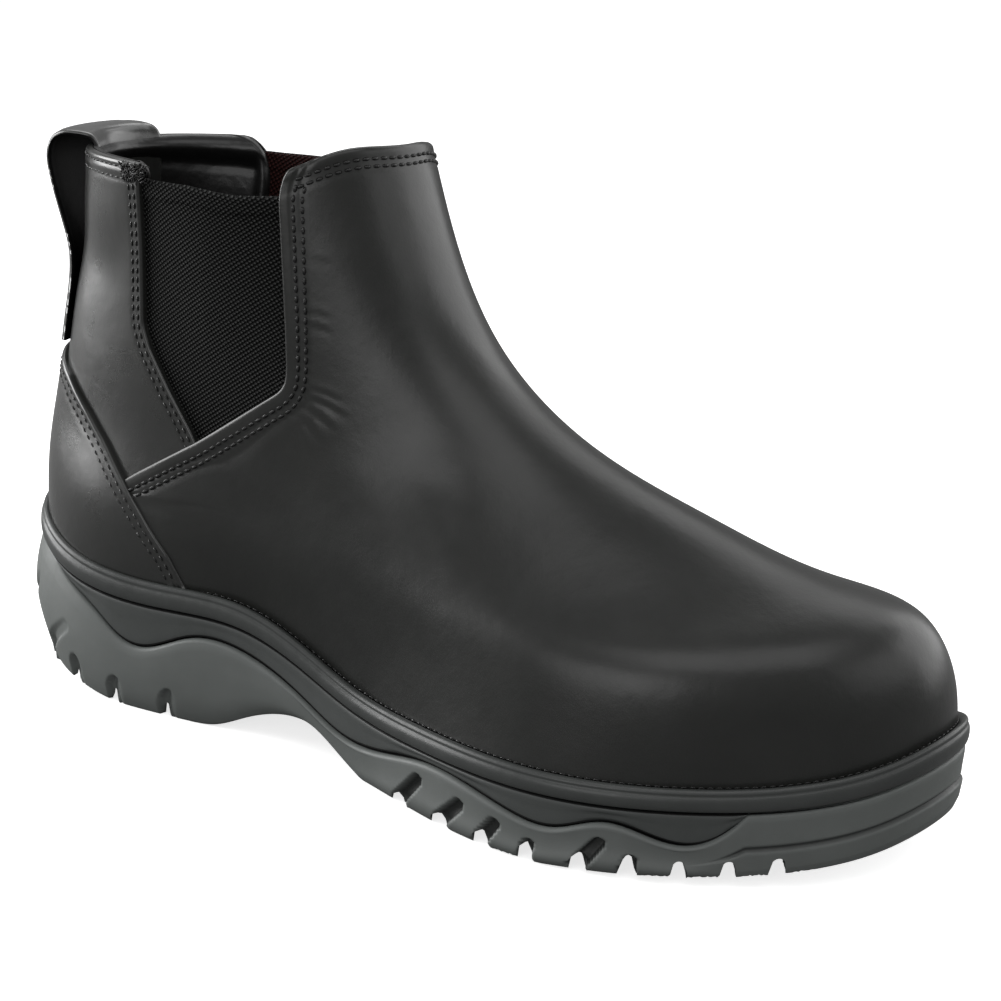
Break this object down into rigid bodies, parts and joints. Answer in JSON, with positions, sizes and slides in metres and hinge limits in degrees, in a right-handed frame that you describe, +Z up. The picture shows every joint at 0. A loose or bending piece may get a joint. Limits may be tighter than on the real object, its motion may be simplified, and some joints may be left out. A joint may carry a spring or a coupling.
{
  "type": "side gore work boot",
  "caption": "Pull-on black leather work boot with elastic side gores, a heel counter, a pull loop at the back and a lugged rubber sole with a wavy side edge.",
  "frame": {"origin": "on the ground plane, under the middle of the boot's bounding box", "axes": "+X from the heel to the toe, +Y towards the inner (medial) side, +Z up"},
  "size_m": [0.3114, 0.1154, 0.181],
  "materials": {
    "black_leather": "smooth full-grain, semi-gloss",
    "gore_elastic": "ribbed elastic weave, matte",
    "sole_rubber": "moulded, matte",
    "rand_rubber": "moulded, satin",
    "footbed": "textile cover, matte"
  },
  "bodies": {
    "root": {"upper": "black_leather", "gore_lateral": "gore_elastic", "gore_medial": "gore_elastic", "heel_counter": "black_leather", "pull_loop": "black_leather", "rand": "rand_rubber", "midsole": "sole_rubber", "outsole": "sole_rubber", "insole": "footbed"}
  },
  "joints": []
}
